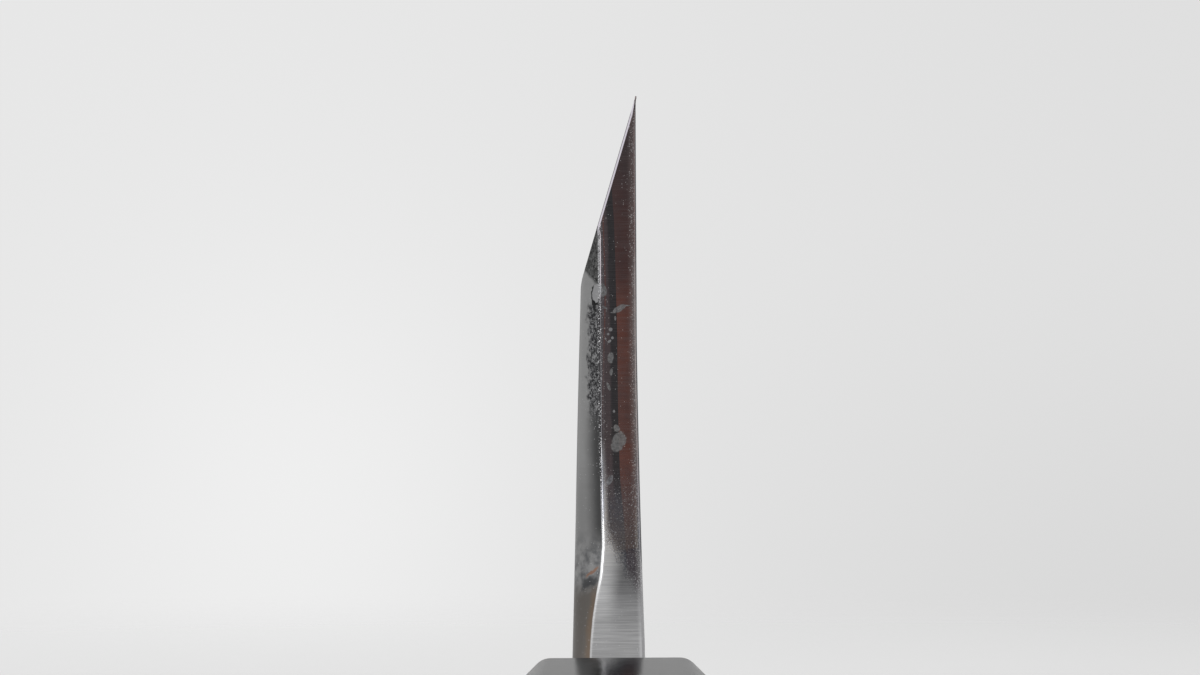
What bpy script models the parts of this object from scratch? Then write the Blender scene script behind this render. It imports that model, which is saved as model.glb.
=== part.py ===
"""A single-bevel deba knife: laminated blade, horn ferrule and octagonal wooden handle.

Metres, +Z up. +Y runs from the butt of the handle to the tip of the blade. The flat back of the
blade looks to +X and its bevelled face to -X. The knife stands on the handle's flat on the side of
the spine, so the cutting edge looks up. Below, y = 0 is the heel face of the blade and z = 0 that
flat; an empty then moves everything so that the origin is under the middle of the whole knife.
"""

import math

import bmesh
import bpy

MM = 0.001

# Blade outline
EDGE_LENGTH = 180 * MM  # heel to tip, a six sun blade
HEEL_HEIGHT = 57.35 * MM  # spine to cutting edge at the heel
TIP_RISE = 14 * MM  # tip above the line of the spine
EDGE_STRAIGHTNESS = 0.6  # how far along the edge its first tangent reaches
EDGE_BELLY = (0.86, 0.9)  # second tangent point: share of the length, share of the rise
SPINE_STRAIGHTNESS = 0.5
SPINE_BEND = 0.72
BLADE_STATIONS = 30

# Blade section
BACK_OFFSET = 1.73 * MM  # flat back, right of the handle's middle plane
SPINE_THICKNESS = 5.2 * MM  # at the heel
SPINE_THICKNESS_NEAR_TIP = 2.6 * MM
BEVEL_HEIGHT = 13.45 * MM  # cutting edge to the ridge line of the bevel
RIDGE_THICKNESS = 3.97 * MM  # blade thickness on that ridge line, at the heel
SPINE_EASE = 0.4 * MM  # small flats on both corners of the spine
STEEL_THICKNESS = 1.4 * MM  # hard steel layer behind the soft iron
WELD_LINE = 0.1 * MM  # hair line that keeps the two forge-welded metals separate solids
BEVEL_MOST = 0.96  # share of a section that the bevel takes where it runs out over the spine
IRON_TIP_THICKNESS = 0.3 * MM  # soft iron left where the bevel ends it, short of the tip
TIP_STUB = 0.5 * MM  # height left to the last section, at the tip

# Hollow of the flat back
HOLLOW_DEPTH = 0.35 * MM
HOLLOW_EDGE_RIM = 1.5 * MM  # flat rim along the cutting edge
HOLLOW_SPINE_RIM = 3.5 * MM  # flat rim along the spine
HOLLOW_HEEL_RIM = 9 * MM  # flat before the hollow starts
HOLLOW_RUN_IN = 14 * MM  # length over which it reaches its depth
HOLLOW_STEPS = 6

# Heel, choil and neck
CHOIL_RADIUS = 12.3 * MM
CHOIL_STEPS = 18
NECK_LENGTH = 14 * MM  # heel face to ferrule
NECK_HEIGHT = 12.5 * MM
NECK_THICKNESS = 5.3 * MM
NECK_BACK_STEP = 0.7 * MM  # neck proud of the blade's flat back
NECK_BACK_BLEND = 4.5 * MM  # length of the slope up to that step
NECK_ROOT = 2 * MM  # part of the neck's form that lies inside the blade
HEEL_FACE_WIDTH = 2.66 * MM  # flat back to the ridge of the heel's corner facet
HEEL_FACET_DEPTH = 2.2 * MM
NECK_FACET_WIDTH = 1.2 * MM
NECK_FACET_DEPTH = 0.9 * MM
FACET_CREASE = 30  # degrees between the heel face and the start of the facet
FACET_STEPS = 4

# Tang
TANG_LENGTH = 96 * MM  # behind the neck
TANG_HEIGHT = 9 * MM
TANG_THICKNESS = 3.8 * MM
TANG_END_HEIGHT = 6 * MM
TANG_END_THICKNESS = 2.4 * MM

# Handle
SPINE_ABOVE_FLAT = 6 * MM  # spine over the handle's flat
FERRULE_LENGTH = 28 * MM
GRIP_LENGTH = 114 * MM
MOUTH_WIDTH = 21.5 * MM
MOUTH_HEIGHT = 24 * MM
MOUTH_CHAMFER = 5.775 * MM
BUTT_WIDTH = 24.5 * MM
BUTT_HEIGHT = 27.5 * MM
BUTT_CHAMFER = 6.5 * MM
ARRIS = 0.5 * MM  # softening of the eight long corners
MOUTH_ROUND = 0.5 * MM  # rounding of the ferrule's front rim
BUTT_ROUND = 1.6 * MM  # rounding of the butt's rim
ROUND_STEPS = 4
FERRULE_WALL = 4 * MM  # front wall of the ferrule, round the neck
DOWEL_DIAMETER = 16 * MM
DOWEL_IN_GRIP = 28 * MM
BORE_END_ROOM = 1 * MM  # left free past the end of the dowel and of the tang

# Fits
FIT = 0.3 * MM  # gap between pieces that touch
SEAL_WALL = 0.8 * MM  # resin round the neck in the ferrule's mouth
BED_WALL = 0.6 * MM  # resin round the tang

# Places that follow from the sizes
SPINE_Z = SPINE_ABOVE_FLAT
EDGE_Z = SPINE_Z + HEEL_HEIGHT
NECK_TOP = SPINE_Z + NECK_HEIGHT
CHOIL_TOP = NECK_TOP + CHOIL_RADIUS
NECK_BACK = BACK_OFFSET + NECK_BACK_STEP
NECK_FRONT = NECK_BACK - NECK_THICKNESS
TANG_X = (NECK_BACK + NECK_FRONT) / 2
TANG_Z = SPINE_Z + NECK_HEIGHT / 2
MOUTH_Y = -NECK_LENGTH
WALL_BACK = MOUTH_Y - FERRULE_WALL
JOINT_Y = MOUTH_Y - FERRULE_LENGTH
GRIP_FRONT = JOINT_Y - FIT
BUTT_Y = GRIP_FRONT - GRIP_LENGTH
NECK_END = WALL_BACK + FIT
TANG_END = NECK_END - TANG_LENGTH
DOWEL_FRONT = WALL_BACK - FIT
DOWEL_BACK = GRIP_FRONT - DOWEL_IN_GRIP
STEEL_FACE = BACK_OFFSET - STEEL_THICKNESS
IRON_FACE = STEEL_FACE - WELD_LINE
RIDGE_SLOPE = (SPINE_THICKNESS - RIDGE_THICKNESS) / (HEEL_HEIGHT - BEVEL_HEIGHT)
BEVEL_SLOPE = RIDGE_THICKNESS / BEVEL_HEIGHT
FAR = 2 * (EDGE_LENGTH + GRIP_LENGTH)  # long enough for any cutter


def clear_scene():
    for thing in list(bpy.data.objects):
        bpy.data.objects.remove(thing, do_unlink=True)


def new_collection(name):
    collection = bpy.data.collections.new(name)
    bpy.context.scene.collection.children.link(collection)
    return collection


def mix(a, b, t):
    return a + (b - a) * t


def smooth(t):
    """0 to 1 with level ends."""
    t = min(max(t, 0), 1)
    return t * t * (3 - 2 * t)


def bezier(points, t):
    """A point of the cubic curve through these four (y, z) points."""
    weights = ((1 - t) ** 3, 3 * t * (1 - t) ** 2, 3 * t * t * (1 - t), t**3)
    return tuple(sum(w * p[axis] for w, p in zip(weights, points)) for axis in (0, 1))


# Shapes


def new_object(name, mesh, collection):
    thing = bpy.data.objects.new(name, mesh)
    collection.objects.link(thing)
    thing.parent = knife
    return thing


def helper(thing):
    """Marks a cutter, or a form that is joined into a part."""
    thing.hide_render = True
    thing.display_type = "WIRE"
    return thing


def loft(name, rings, collection):
    """A closed body through rings of (x, y, z) points of equal count, with flat ends."""
    form = bmesh.new()
    rows = [[form.verts.new(point) for point in ring] for ring in rings]
    sides = []
    for near, far in zip(rows, rows[1:]):
        for i in range(len(near)):
            j = (i + 1) % len(near)
            sides.append(form.faces.new((near[i], near[j], far[j], far[i])))
    form.faces.new(rows[0])
    form.faces.new(rows[-1])
    bmesh.ops.triangulate(form, faces=sides)
    bmesh.ops.recalc_face_normals(form, faces=form.faces)
    mesh = bpy.data.meshes.new(name)
    form.to_mesh(mesh)
    form.free()
    return new_object(name, mesh, collection)


def rectangle(y, centre, size):
    """A ring across Y: centre and size are (x, z) pairs."""
    x, z = centre
    half_x, half_z = size[0] / 2, size[1] / 2
    return [
        (x - half_x, y, z - half_z),
        (x + half_x, y, z - half_z),
        (x + half_x, y, z + half_z),
        (x - half_x, y, z + half_z),
    ]


def cylinder(name, radius, y_from, y_to, centre, collection):
    form = bmesh.new()
    bmesh.ops.create_cone(
        form, cap_ends=True, segments=48, radius1=radius, radius2=radius, depth=y_to - y_from
    )
    mesh = bpy.data.meshes.new(name)
    form.to_mesh(mesh)
    form.free()
    mesh.shade_smooth()
    mesh.set_sharp_from_angle(angle=math.radians(40))
    thing = new_object(name, mesh, collection)
    thing.rotation_euler.x = math.radians(90)
    thing.location = (centre[0], (y_from + y_to) / 2, centre[1])
    return thing


def box(name, low, high, collection):
    form = bmesh.new()
    bmesh.ops.create_cube(form, size=1)
    mesh = bpy.data.meshes.new(name)
    for corner in form.verts:
        corner.co = [mix(l, h, c + 0.5) for l, h, c in zip(low, high, corner.co)]
    form.to_mesh(mesh)
    form.free()
    return new_object(name, mesh, collection)


def boolean(thing, other, operation):
    modifier = thing.modifiers.new(f"{operation.lower()} {other.name}", "BOOLEAN")
    modifier.operation = operation
    modifier.solver = "EXACT"
    modifier.object = other
    return thing


def give_material(thing, name, colour, roughness, metallic=0.0):
    material = bpy.data.materials.new(name)
    material.use_nodes = True
    shader = material.node_tree.nodes["Principled BSDF"]
    shader.inputs["Base Color"].default_value = (*colour, 1)
    shader.inputs["Roughness"].default_value = roughness
    shader.inputs["Metallic"].default_value = metallic
    material.diffuse_color = (*colour, 1)
    thing.data.materials.append(material)


# Blade


def edge_point(t):
    belly_y, belly_rise = EDGE_BELLY
    tip_z = SPINE_Z + TIP_RISE
    return bezier(
        (
            (0, EDGE_Z),
            (EDGE_STRAIGHTNESS * EDGE_LENGTH, EDGE_Z),
            (belly_y * EDGE_LENGTH, mix(tip_z, EDGE_Z, belly_rise)),
            (EDGE_LENGTH, tip_z),
        ),
        t,
    )


def spine_point(t):
    return bezier(
        (
            (0, SPINE_Z),
            (SPINE_STRAIGHTNESS * EDGE_LENGTH, SPINE_Z),
            (SPINE_BEND * EDGE_LENGTH, SPINE_Z),
            (EDGE_LENGTH, SPINE_Z + TIP_RISE),
        ),
        t,
    )


def spine_thickness(y):
    """Thins slowly at first and faster towards the tip."""
    return mix(SPINE_THICKNESS, SPINE_THICKNESS_NEAR_TIP, (y / EDGE_LENGTH) ** 2)


def hollow_at(from_edge, width, y):
    """Depth of the hollow in the back, this far from the edge on a section of this width."""
    room = width - HOLLOW_EDGE_RIM - HOLLOW_SPINE_RIM
    if room <= 0:
        return 0
    across = (from_edge - HOLLOW_EDGE_RIM) / room
    along = smooth((y - HOLLOW_HEEL_RIM) / HOLLOW_RUN_IN) * smooth(room / HOLLOW_RUN_IN)
    return HOLLOW_DEPTH * along * max(0, 1 - (2 * across - 1) ** 2)


def section(t):
    """One slice across the blade: its sizes, and a function that places points on it.

    place(thick, depth) takes the distance from the flat back towards the bevelled side, and the
    distance from the cutting edge towards the spine."""
    edge, spine = edge_point(t), spine_point(t)
    width = math.dist(edge, spine)
    if width < TIP_STUB:
        near = 1 - 1 / BLADE_STATIONS**2
        edge, spine, width = edge_point(near), spine_point(near), TIP_STUB
    reach = math.dist(edge, spine)
    way = [(s - e) / reach for s, e in zip(spine, edge)]
    origin = edge_point(t)
    bevel = min(BEVEL_HEIGHT, BEVEL_MOST * width)
    thickness = min(spine_thickness(origin[0]), width * BEVEL_SLOPE)
    at_ridge = thickness - (width - bevel) * RIDGE_SLOPE

    def place(thick, depth):
        return (BACK_OFFSET - thick, origin[0] + way[0] * depth, origin[1] + way[1] * depth)

    return width, bevel, thickness, at_ridge, place


def steel_ring(t):
    """From the cutting edge down the hollow back, over the spine and up the welded face."""
    width, bevel, thickness, at_ridge, place = section(t)
    ring = [place(0, 0)]
    low, high = HOLLOW_EDGE_RIM, width - HOLLOW_SPINE_RIM
    if high - low < HOLLOW_EDGE_RIM + HOLLOW_SPINE_RIM:
        low, high = width / 4, width / 2
    for step in range(HOLLOW_STEPS + 1):
        depth = mix(low, high, step / HOLLOW_STEPS)
        y = place(0, depth)[1]
        ring.append(place(hollow_at(depth, width, y), depth))
    plate = min(STEEL_THICKNESS, thickness)
    ease = min(SPINE_EASE, plate / 3, (width - bevel) / 2)
    ring += [place(0, width - ease), place(ease, width)]
    ring += [place(plate, width), place(min(plate, at_ridge), bevel)]
    on_bevel = bevel * min(STEEL_THICKNESS / at_ridge, BEVEL_MOST)
    ring.append(place(at_ridge * on_bevel / bevel, on_bevel))
    return ring


def iron_ring(t):
    """From the weld line on the bevel down the welded face, over the spine and up the outside."""
    width, bevel, thickness, at_ridge, place = section(t)
    inner = STEEL_THICKNESS + WELD_LINE
    ease = min(SPINE_EASE, (thickness - inner) / 3, (width - bevel) / 2)
    return [
        place(inner, bevel * inner / at_ridge),
        place(inner, (bevel + width) / 2),
        place(inner, width),
        place(thickness - ease, width),
        place(thickness, width - ease),
        place(at_ridge, bevel),
    ]


def iron_reach():
    """How far along the blade the soft iron goes before the bevel has cut through it."""
    near, far = 0, 1
    while far - near > 1 / BLADE_STATIONS**2:
        middle = (near + far) / 2
        if section(middle)[2] > STEEL_THICKNESS + WELD_LINE + IRON_TIP_THICKNESS:
            near = middle
        else:
            far = middle
    return near


def face_x(z):
    """The bevelled side's flat face at the heel, at this height."""
    z = min(z, EDGE_Z - BEVEL_HEIGHT)
    return BACK_OFFSET - SPINE_THICKNESS + (z - SPINE_Z) * RIDGE_SLOPE


def neck_ring(y, top, inset=0):
    """Across the neck, from the blade's own thickness at the heel to the neck's at the ferrule."""
    back = BACK_OFFSET + NECK_BACK_STEP * smooth(-y / NECK_BACK_BLEND)
    along = smooth(-y / CHOIL_RADIUS)
    low = SPINE_Z + inset
    high = top - inset
    ring = [(back - SPINE_EASE, y, low), (back, y, low + SPINE_EASE), (back, y, high)]
    for z in (high, (low + high) / 2, low + SPINE_EASE):
        ring.append((mix(face_x(z), NECK_FRONT, along) + inset, y, z))
    ring.append((mix(face_x(low), NECK_FRONT, along) + inset + SPINE_EASE, y, low))
    return ring


def neck_form():
    rings = [
        neck_ring(NECK_ROOT, CHOIL_TOP, inset=FIT),
        neck_ring(WELD_LINE / 2, CHOIL_TOP, inset=WELD_LINE / 2),
    ]
    for step in range(1, CHOIL_STEPS + 1):
        angle = math.radians(90) * step / CHOIL_STEPS
        y = -CHOIL_RADIUS * (1 - math.cos(angle))
        rings.append(neck_ring(y, CHOIL_TOP - CHOIL_RADIUS * math.sin(angle)))
    rings.append(neck_ring(NECK_END, NECK_TOP))
    neck = loft("neck_form", rings, cutters)
    room = box("steel_room", (IRON_FACE - WELD_LINE / 2, -WELD_LINE, -FAR), (FAR, FAR, FAR), cutters)
    return helper(boolean(neck, helper(room), "DIFFERENCE"))


def tang_prism(name, grow, y_from, y_to, collection):
    """The tang's tapered bar, made larger all round by grow, between two places on its line."""
    rings = []
    for y in (y_from, y_to):
        t = (NECK_END - y) / TANG_LENGTH
        size = (
            mix(TANG_THICKNESS, TANG_END_THICKNESS, t) + 2 * grow,
            mix(TANG_HEIGHT, TANG_END_HEIGHT, t) + 2 * grow,
        )
        rings.append(rectangle(y, (TANG_X, TANG_Z), size))
    return loft(name, rings, collection)


def neck_prism(name, grow, y_from, y_to, collection):
    """The neck's bar where it passes through the ferrule, made larger all round by grow."""
    size = (NECK_THICKNESS + 2 * grow, NECK_HEIGHT + 2 * grow)
    rings = [rectangle(y, (TANG_X, TANG_Z), size) for y in (y_from, y_to)]
    return loft(name, rings, collection)


def facet_ring(y, z, out, ridge, side, depth):
    """Across the cutter of the heel's rounded corner facet: out is the (y, z) way off the metal."""
    crease = math.radians(FACET_CREASE)
    section = []
    for step in range(FACET_STEPS + 1):
        angle = mix(crease, math.radians(90), step / FACET_STEPS)
        across = (math.sin(angle) - math.sin(crease)) / (1 - math.sin(crease))
        inward = (math.cos(crease) - math.cos(angle)) / math.cos(crease)
        section.append((mix(ridge, side, across), -depth * inward))
    clear = CHOIL_RADIUS / 4
    section += [(side - clear, -depth), (side - clear, clear), (ridge, clear)]
    return [(x, y + out[0] * n, z + out[1] * n) for x, n in section]


def facet_cutter():
    """Runs down the heel, round the choil and along the neck, on the bevelled side's corner."""
    heel_ridge = BACK_OFFSET - HEEL_FACE_WIDTH
    rings = []
    for z in (EDGE_Z, CHOIL_TOP):
        rings.append(facet_ring(0, z, (-1, 0), heel_ridge, face_x(z) - WELD_LINE, HEEL_FACET_DEPTH))
    for step in range(1, CHOIL_STEPS + 1):
        angle = math.radians(90) * step / CHOIL_STEPS
        y = -CHOIL_RADIUS * (1 - math.cos(angle))
        z = CHOIL_TOP - CHOIL_RADIUS * math.sin(angle)
        along = smooth(-y / CHOIL_RADIUS)
        side = mix(face_x(z), NECK_FRONT, along) - WELD_LINE
        ridge = mix(heel_ridge, NECK_FRONT + NECK_FACET_WIDTH, smooth(step / (0.7 * CHOIL_STEPS)))
        depth = mix(HEEL_FACET_DEPTH, NECK_FACET_DEPTH, smooth(step / (0.7 * CHOIL_STEPS)))
        out = (-math.cos(angle), math.sin(angle))
        rings.append(facet_ring(y, z, out, ridge, side, depth))
    ridge = NECK_FRONT + NECK_FACET_WIDTH
    side = NECK_FRONT - WELD_LINE
    rings.append(facet_ring(MOUTH_Y + FIT, NECK_TOP, (0, 1), ridge, side, NECK_FACET_DEPTH))
    return helper(loft("facet_cutter", rings, cutters))


def make_blade_steel():
    """The hard layer: the whole flat back, and the cutting edge."""
    rings = [steel_ring(step / BLADE_STATIONS) for step in range(BLADE_STATIONS + 1)]
    steel = loft("blade_steel", rings, parts)
    give_material(steel, "hard steel", (0.62, 0.61, 0.60), 0.22, 1.0)


def make_blade_iron():
    """The soft body in front of the steel, with the neck and the tang forged in one with it."""
    reach = iron_reach()
    rings = [iron_ring(reach * step / BLADE_STATIONS) for step in range(BLADE_STATIONS + 1)]
    iron = loft("blade_iron", rings, parts)
    boolean(iron, neck_form(), "UNION")
    tang = tang_prism("tang_form", 0, NECK_END + FERRULE_WALL / 2, TANG_END, cutters)
    boolean(iron, helper(tang), "UNION")
    boolean(iron, facet_cutter(), "DIFFERENCE")
    give_material(iron, "soft iron", (0.50, 0.50, 0.50), 0.38, 1.0)


# Handle


def octagon(y, inset=0):
    """A ring across the handle, its corners softened, standing on z = 0 when inset is nothing."""
    t = (MOUTH_Y - y) / (MOUTH_Y - BUTT_Y)
    half = mix(MOUTH_WIDTH, BUTT_WIDTH, t) / 2
    height = mix(MOUTH_HEIGHT, BUTT_HEIGHT, t)
    chamfer = mix(MOUTH_CHAMFER, BUTT_CHAMFER, t)
    corners = [
        (half - chamfer, 0),
        (half, chamfer),
        (half, height - chamfer),
        (half - chamfer, height),
        (chamfer - half, height),
        (-half, height - chamfer),
        (-half, chamfer),
        (chamfer - half, 0),
    ]
    middle = height / 2
    shrink_x = (half - inset) / half
    shrink_z = (middle - inset) / middle
    ring = []
    for i, corner in enumerate(corners):
        for other in (corners[i - 1], corners[(i + 1) % len(corners)]):
            share = ARRIS / math.dist(corner, other)
            x, z = (mix(c, o, share) for c, o in zip(corner, other))
            ring.append((x * shrink_x, y, middle + (z - middle) * shrink_z))
    return ring


def rounded_end(y_end, inward, radius):
    """Rings that round the handle's rim off towards its end face: inward is +1 or -1 along Y."""
    rings = []
    for step in range(ROUND_STEPS + 1):
        angle = math.radians(90) * step / ROUND_STEPS
        back, inset = radius * (1 - math.sin(angle)), radius * (1 - math.cos(angle))
        rings.append(octagon(y_end + inward * back, inset))
    return rings


def make_ferrule():
    """The horn collar: a slot for the neck in its front wall, and a bore for the dowel behind."""
    front = rounded_end(MOUTH_Y, -1, MOUTH_ROUND)
    ferrule = loft("ferrule", front[::-1] + [octagon(JOINT_Y)], parts)
    bore = cylinder(
        "ferrule_bore", DOWEL_DIAMETER / 2 + FIT, JOINT_Y - FIT, WALL_BACK, (TANG_X, TANG_Z), cutters
    )
    boolean(ferrule, helper(bore), "DIFFERENCE")
    slot = neck_prism("ferrule_slot", 2 * FIT + SEAL_WALL, WALL_BACK - FIT, -FIT, cutters)
    boolean(ferrule, helper(slot), "DIFFERENCE")
    give_material(ferrule, "black horn", (0.030, 0.028, 0.027), 0.18)


def make_grip():
    """The wooden body of the handle, bored for the dowel and burned out for the tang."""
    grip = loft("handle_grip", [octagon(GRIP_FRONT)] + rounded_end(BUTT_Y, 1, BUTT_ROUND), parts)
    bore = cylinder(
        "grip_bore",
        DOWEL_DIAMETER / 2 + FIT,
        DOWEL_BACK - BORE_END_ROOM,
        GRIP_FRONT + FIT,
        (TANG_X, TANG_Z),
        cutters,
    )
    boolean(grip, helper(bore), "DIFFERENCE")
    channel = tang_prism(
        "tang_channel", 2 * FIT + BED_WALL, GRIP_FRONT, TANG_END - BORE_END_ROOM, cutters
    )
    boolean(grip, helper(channel), "DIFFERENCE")
    give_material(grip, "ho wood", (0.62, 0.47, 0.29), 0.55)


def make_dowel():
    """The hardwood dowel that pins the ferrule to the grip, slotted for the tang."""
    dowel = cylinder(
        "handle_dowel", DOWEL_DIAMETER / 2, DOWEL_BACK, DOWEL_FRONT, (TANG_X, TANG_Z), parts
    )
    slot = tang_prism(
        "dowel_slot", 2 * FIT + BED_WALL, DOWEL_FRONT + FIT, DOWEL_BACK - FIT, cutters
    )
    boolean(dowel, helper(slot), "DIFFERENCE")
    give_material(dowel, "dowel hardwood", (0.45, 0.30, 0.17), 0.6)


def make_resin():
    """The seal round the neck in the ferrule's mouth, and the bed round the whole tang."""
    seal = neck_prism("mouth_seal", FIT + SEAL_WALL, DOWEL_FRONT + FIT, MOUTH_Y - MOUTH_ROUND, parts)
    neck_room = neck_prism("seal_room", FIT, DOWEL_FRONT, MOUTH_Y, cutters)
    boolean(seal, helper(neck_room), "DIFFERENCE")
    give_material(seal, "dark resin", (0.06, 0.045, 0.03), 0.4)
    bed = tang_prism("tang_bed", FIT + BED_WALL, DOWEL_FRONT, TANG_END, parts)
    tang_room = tang_prism("bed_room", FIT, DOWEL_FRONT + FIT, TANG_END - FIT, cutters)
    boolean(bed, helper(tang_room), "DIFFERENCE")
    give_material(bed, "amber resin", (0.45, 0.26, 0.08), 0.35)


clear_scene()
parts = new_collection("deba_knife")
cutters = new_collection("cutters")
knife = bpy.data.objects.new("knife_frame", None)
parts.objects.link(knife)
knife.location.y = -(EDGE_LENGTH + BUTT_Y) / 2
make_blade_steel()
make_blade_iron()
make_ferrule()
make_grip()
make_dowel()
make_resin()
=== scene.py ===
# %% [markdown]
# # A deba knife, seen from behind its handle
#
# A deba is a heavy, single-bevel kitchen knife. A smith forge welds a sheet of hard steel to a
# body of soft iron, grinds one bevel, hollows the flat back, and a handle maker sets the tang in a
# wooden grip with a collar of horn. The packed CAD model gives the sizes and the places. This
# lesson dresses it: finer forms where light runs over an edge, and finishes made of shader nodes.
#
# The knife stands with its edge up. +Y runs from the butt to the tip, the flat back looks to +X.

from functools import cached_property
from math import asin, atan, ceil, cos, degrees, dist, pi, radians, sin, sqrt, tan

import bmesh
import bpy
import numpy as np
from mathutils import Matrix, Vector
from mathutils.geometry import delaunay_2d_cdt


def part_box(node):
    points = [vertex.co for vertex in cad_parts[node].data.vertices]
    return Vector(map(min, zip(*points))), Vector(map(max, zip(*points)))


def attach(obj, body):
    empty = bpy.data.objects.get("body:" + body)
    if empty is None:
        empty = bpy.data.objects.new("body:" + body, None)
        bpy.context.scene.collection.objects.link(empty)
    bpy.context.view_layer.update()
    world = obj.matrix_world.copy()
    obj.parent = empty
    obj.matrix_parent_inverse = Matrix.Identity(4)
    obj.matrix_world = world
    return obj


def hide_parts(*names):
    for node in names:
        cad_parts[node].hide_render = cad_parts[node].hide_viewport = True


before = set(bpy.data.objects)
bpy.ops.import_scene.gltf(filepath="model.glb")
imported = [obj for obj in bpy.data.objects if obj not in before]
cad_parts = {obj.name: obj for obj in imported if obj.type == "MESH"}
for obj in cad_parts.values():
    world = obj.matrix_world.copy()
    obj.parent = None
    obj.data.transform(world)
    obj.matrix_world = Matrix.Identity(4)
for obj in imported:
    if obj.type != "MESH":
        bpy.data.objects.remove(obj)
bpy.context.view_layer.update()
print("CAD pieces:", ", ".join(sorted(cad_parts)))

# %% [markdown]
# ## Sizes
#
# A maker measures a blade from its heel, the corner where the edge ends above the neck. So the
# shapes below are worked out in millimetres with y = 0 on the heel face and z = 0 under the
# handle, and move to the frame's place when the mesh is made. The anchors are read from the frame.

# %% Places read from the frame
MM = 0.001
steel_low, steel_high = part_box("blade_steel")
HEEL_Y = steel_low.y
EDGE_Z = steel_high.z / MM
SPINE_Z = steel_low.z / MM
EDGE_LENGTH = (steel_high.y - steel_low.y) / MM
BACK_X = steel_high.x / MM
MOUTH_Y = (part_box("ferrule")[1].y - HEEL_Y) / MM
JOINT_Y = (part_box("ferrule")[0].y - HEEL_Y) / MM
BUTT_Y = (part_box("handle_grip")[0].y - HEEL_Y) / MM
TANG_END = (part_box("blade_iron")[0].y - HEEL_Y) / MM
print(f"edge {EDGE_LENGTH:.1f} mm long, heel {EDGE_Z - SPINE_Z:.2f} mm high, butt {BUTT_Y:.1f} mm")

# %% Sizes of the blade, in millimetres
TIP_RISE = 14
BEVEL = 13.45  # its height
BEVEL_MOST = 0.96  # of a slice's width, where the blade gets narrow
RIDGE_THICKNESS = 4.03
RIDGE_SOFTNESS = 0.16
SPINE_THICKNESS = 5.22
TIP_THICKNESS = 2.6
EDGE_WALL = 0.05  # how blunt the cutting edge is
BELLY_DEPTH, BELLY_TOP, BELLY_HEIGHT, BELLY_LENGTH = 0.022, 47.8, 15, 60
HOLLOW_DEPTH, RUN_IN = 0.45, 10
EDGE_RIM, SPINE_RIM, HEEL_RIM = 1.5, 3.5, 3.5  # how wide the back stays flat round its hollow
SHOULDER, SHOULDER_BEND, SHOULDER_LENGTH = 0.44, 1.4, 9  # where the back swells to the neck
SHOULDER_TOP, SHOULDER_HEIGHT = 46, 22
CHOIL = 12.3  # its radius
NECK_THICKNESS, NECK_HEIGHT = 5.3, 12.5
NECK_STEP, NECK_STEP_LENGTH = 0.7, 5.5  # how far the neck stands out of the flat back
NECK_TOP = SPINE_Z + NECK_HEIGHT
NECK_BACK = BACK_X + NECK_STEP
NECK_FRONT = NECK_BACK - NECK_THICKNESS
NECK_END = MOUTH_Y - 3.7
TANG_START = NECK_END - 2
TANG_HALF, TANG_HALF_TAPER = 1.9, 0.7
TANG_X = (NECK_BACK + NECK_FRONT) / 2
TANG_Z = SPINE_Z + NECK_HEIGHT / 2
RIDGE_SLOPE = (SPINE_THICKNESS - RIDGE_THICKNESS) / (EDGE_Z - SPINE_Z - BEVEL)
BEVEL_SLOPE = RIDGE_THICKNESS / BEVEL
CHOIL_TOP = NECK_TOP + CHOIL
print(f"the bevel rises at {degrees(atan(BEVEL_SLOPE)):.1f} degrees")

# %% [markdown]
# ## The blank of the blade
#
# The blade is nearly flat, so it is described from the side: an outline, and two sheets that say
# how far the back and the bevelled side stand out at every point inside it. Extruding a drawing
# and cutting it with Booleans would give hard corners. Here a wall is swept round the outline
# instead, with a profile that a stone would leave: eased on the back, and on the bevelled side a
# facet at the heel. Then both sheets are filled in with triangles whose corners follow the form.

# %% The curves of the edge and the spine, and the slice through any point
def curve(points, t):
    """Points (y, z) of the cubic curve through four (y, z) points."""
    t = np.asarray(t, float)[..., None]
    a, b, c, d = (np.array(p, float) for p in points)
    return a * (1 - t) ** 3 + 3 * b * t * (1 - t) ** 2 + 3 * c * t * t * (1 - t) + d * t**3


TIP = (EDGE_LENGTH, SPINE_Z + TIP_RISE)
EDGE_CURVE = (
    (0, EDGE_Z),
    (0.6 * EDGE_LENGTH, EDGE_Z),
    (0.86 * EDGE_LENGTH, TIP[1] + 0.9 * (EDGE_Z - TIP[1])),
    TIP,
)
SPINE_CURVE = ((0, SPINE_Z), (0.5 * EDGE_LENGTH, SPINE_Z), (0.72 * EDGE_LENGTH, SPINE_Z), TIP)
LAST = 0.995  # the slices stop a little short of the tip, where they have no width


def slice_at(y, z):
    """Of points in the outline: their depth from the edge, their slice's width, its y there."""
    point = np.stack([np.asarray(y, float), np.asarray(z, float)], -1)
    low, high = np.zeros(point.shape[:-1]), np.full(point.shape[:-1], LAST)
    for _ in range(40):
        t = (low + high) / 2
        edge, spine = curve(EDGE_CURVE, t), curve(SPINE_CURVE, t)
        way, to = spine - edge, point - edge
        past = way[..., 0] * to[..., 1] - way[..., 1] * to[..., 0] > 0
        low, high = np.where(past, t, low), np.where(past, high, t)
    edge, spine = curve(EDGE_CURVE, low), curve(SPINE_CURVE, low)
    width = np.linalg.norm(spine - edge, axis=-1)
    depth = np.sum((point - edge) * (spine - edge), -1) / width
    return depth, width, edge[..., 0]


def soft_step(t):
    t = np.clip(t, 0, 1)
    return t * t * (3 - 2 * t)


probe = slice_at([60.0], [40.0])
print(f"60 mm along, 40 mm up: {probe[0][0]:.1f} mm from the edge, slice {probe[1][0]:.1f} mm wide")

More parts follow.
